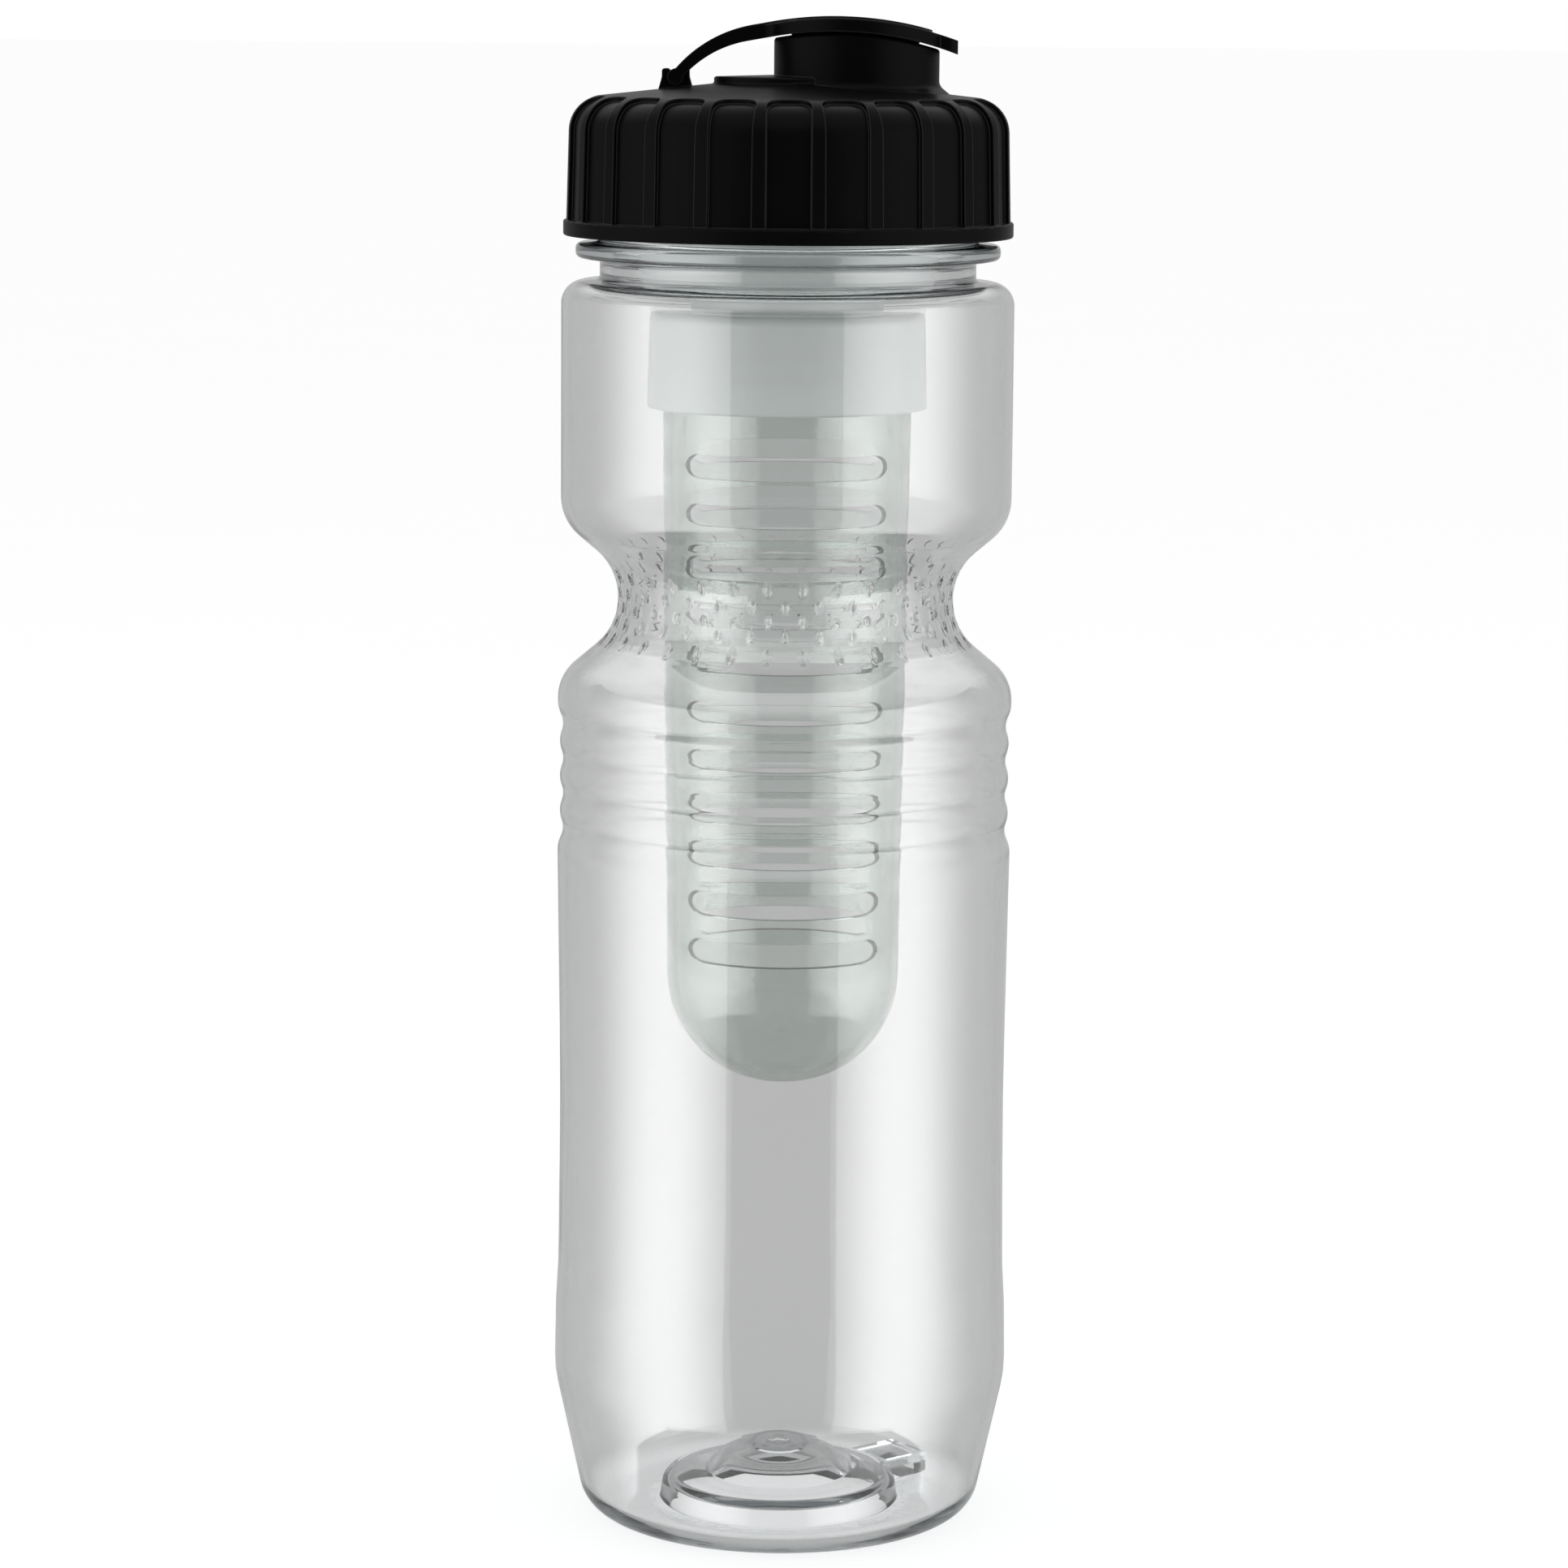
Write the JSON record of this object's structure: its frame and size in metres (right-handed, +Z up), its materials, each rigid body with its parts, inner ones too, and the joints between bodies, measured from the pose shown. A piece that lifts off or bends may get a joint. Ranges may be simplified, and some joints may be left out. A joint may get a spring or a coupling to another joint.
{
  "type": "fruit infuser water bottle",
  "caption": "Clear waisted water bottle with a black screw lid, a flip cap over its spout and a slotted fruit infuser basket hanging from the lid.",
  "frame": {"origin": "on the bottle's axis, at the plane it stands on", "axes": "+Z up along the bottle's axis, +X from the hinge of the flip cap towards its thumb tab, -Y towards the viewer of the picture"},
  "size_m": [0.0746, 0.0746, 0.2457],
  "materials": {
    "clear_plastic": "clear, glossy",
    "silicone": "matte, translucent white",
    "black_plastic": "satin, fine moulded grain",
    "milky_plastic": "satin, milky translucent",
    "tinted_clear_plastic": "clear with a faint green tint, glossy"
  },
  "bodies": {
    "bottle": {"bottle_foot": "clear_plastic", "bottle_body": "clear_plastic", "bottle_waist": "clear_plastic", "bottle_neck": "clear_plastic"},
    "gasket": {"lid_gasket": "silicone"},
    "lid": {"screw_lid": "black_plastic"},
    "flip_cap": {"flip_cap": "black_plastic"},
    "infuser_holder": {"infuser_holder": "milky_plastic"},
    "infuser_basket": {"infuser_basket": "tinted_clear_plastic"}
  },
  "joints": [
    {"name": "lid_lift", "type": "slide", "parent": "bottle", "child": "gasket", "axis": [0, 0, 1], "range_m": [0, 0.2]},
    {"name": "lid_turn", "type": "hinge", "parent": "gasket", "child": "lid", "pos_m": [0, 0, 0.22], "axis": [0, 0, 1], "range_deg": [0, 360]},
    {"name": "flip_cap_hinge", "type": "hinge", "parent": "lid", "child": "flip_cap", "pos_m": [-0.0182, 0, 0.23596], "axis": [0, -1, 0], "range_deg": [0, 140]},
    {"name": "infuser_pull", "type": "slide", "parent": "lid", "child": "infuser_holder", "axis": [0, 0, -1], "range_m": [0, 0.016]},
    {"name": "basket_drop", "type": "slide", "parent": "infuser_holder", "child": "infuser_basket", "axis": [0, 0, -1], "range_m": [0, 0.04]}
  ]
}
